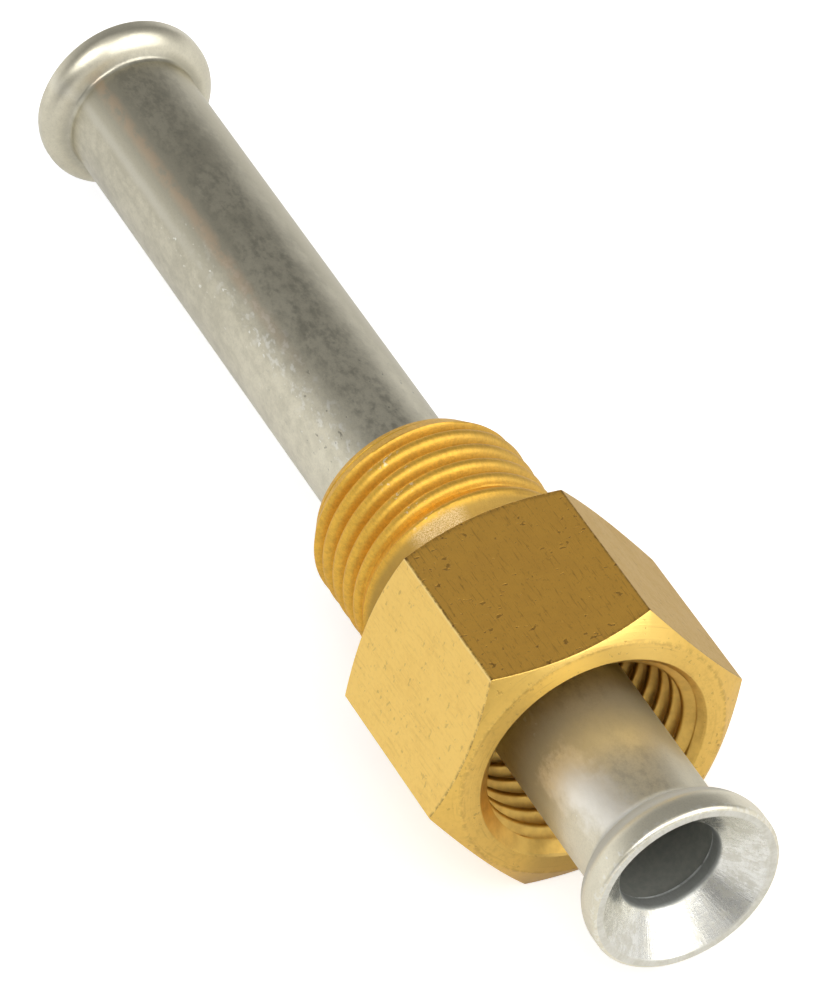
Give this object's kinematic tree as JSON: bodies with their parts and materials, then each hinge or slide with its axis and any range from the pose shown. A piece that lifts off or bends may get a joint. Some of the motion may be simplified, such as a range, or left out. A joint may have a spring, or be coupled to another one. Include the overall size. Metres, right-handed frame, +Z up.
{
  "type": "radiator adapter fitting",
  "caption": "Short steel cooler line, double flared at both ends, with a captive brass adapter nut: male thread on its nose, female thread inside its hexagon.",
  "frame": {"origin": "on the floor under the middle of the tube, at the bottom centre of the part's box", "axes": "+X along the tube towards the mouth of the female thread, +Y across, +Z up; the part lies on one flat of the hexagon"},
  "size_m": [0.0716, 0.0184, 0.016],
  "materials": {
    "plated_steel": "dull zinc plating, mottled, with light handling marks",
    "nut_brass": "machined brass from drawn hexagon bar, slightly dulled"
  },
  "bodies": {
    "tube": {"flared_tube": "plated_steel"},
    "nut": {"adapter_nut": "nut_brass"}
  },
  "joints": [
    {"name": "nut_slide", "type": "slide", "parent": "tube", "child": "nut", "axis": [1, 0, 0], "range_m": [-0.0358, 0.018]}
  ]
}
